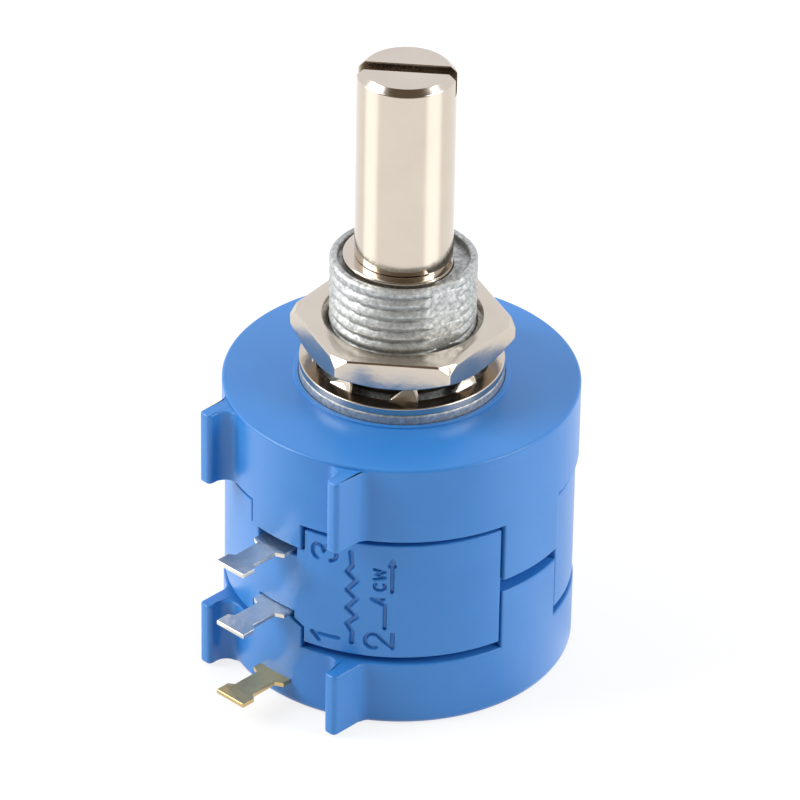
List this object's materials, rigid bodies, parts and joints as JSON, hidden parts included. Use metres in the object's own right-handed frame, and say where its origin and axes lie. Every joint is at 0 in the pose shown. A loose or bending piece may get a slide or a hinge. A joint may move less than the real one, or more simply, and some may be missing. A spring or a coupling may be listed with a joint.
{
  "type": "multi-turn potentiometer",
  "caption": "Panel-mount ten-turn wirewound potentiometer: round blue housing, threaded bushing with nut and lock washer, slotted shaft, three solder lugs.",
  "frame": {"origin": "where the shaft axis meets the panel seat, which is the top face of the bushing's flange", "axes": "+Z along the shaft, out through the panel; -Y towards the three solder terminals; +X to the right seen from the front with the terminals down"},
  "size_m": [0.022, 0.0258, 0.04],
  "materials": {
    "blue_housing": "satin moulded polyester",
    "nickel": "bright nickel plate",
    "zinc": "die-cast zinc",
    "tinned_brass": "silver plated",
    "gilded_brass": "thin gold flash",
    "inner_plastic": "moulded",
    "brass": "turned",
    "element": "fine wound wire"
  },
  "bodies": {
    "root": {"front_cover": "blue_housing", "rear_cover": "blue_housing", "coil_housing": "blue_housing", "resistance_coil": "element", "terminal_1": "tinned_brass", "terminal_2": "gilded_brass", "terminal_3": "tinned_brass", "end_tap_1": "tinned_brass", "end_tap_3": "tinned_brass", "collector_brush": "gilded_brass", "bushing": "zinc"},
    "rotor": {"shaft": "nickel", "retaining_ring": "nickel", "thrust_washer": "nickel", "rotor_drum": "inner_plastic", "contact_rod": "brass", "slip_ring": "brass"},
    "carriage": {"wiper_carriage": "inner_plastic", "wiper_contact": "gilded_brass"},
    "washer": {"lock_washer": "nickel"},
    "nut": {"panel_nut": "nickel"}
  },
  "joints": [
    {"name": "shaft_turn", "type": "hinge", "parent": "root", "child": "rotor", "pos_m": [0, 0, 0], "axis": [0, 0, 1], "range_deg": [-1800, 1800]},
    {"name": "wiper_travel", "type": "slide", "parent": "rotor", "child": "carriage", "axis": [0, 0, 1], "range_m": [-0.00526, 0.00526]},
    {"name": "nut_lift", "type": "slide", "parent": "root", "child": "washer", "axis": [0, 0, 1], "range_m": [0, 0.00375]},
    {"name": "nut_turn", "type": "hinge", "parent": "washer", "child": "nut", "pos_m": [0, 0, 0], "axis": [0, 0, 1], "range_deg": [0, 1800.2]}
  ],
  "couplings": [
    {"joint": "wiper_travel", "follows": "shaft_turn", "m_per_rad": -0.00016711},
    {"joint": "nut_turn", "follows": "nut_lift", "rad_per_m": 8377.6}
  ]
}
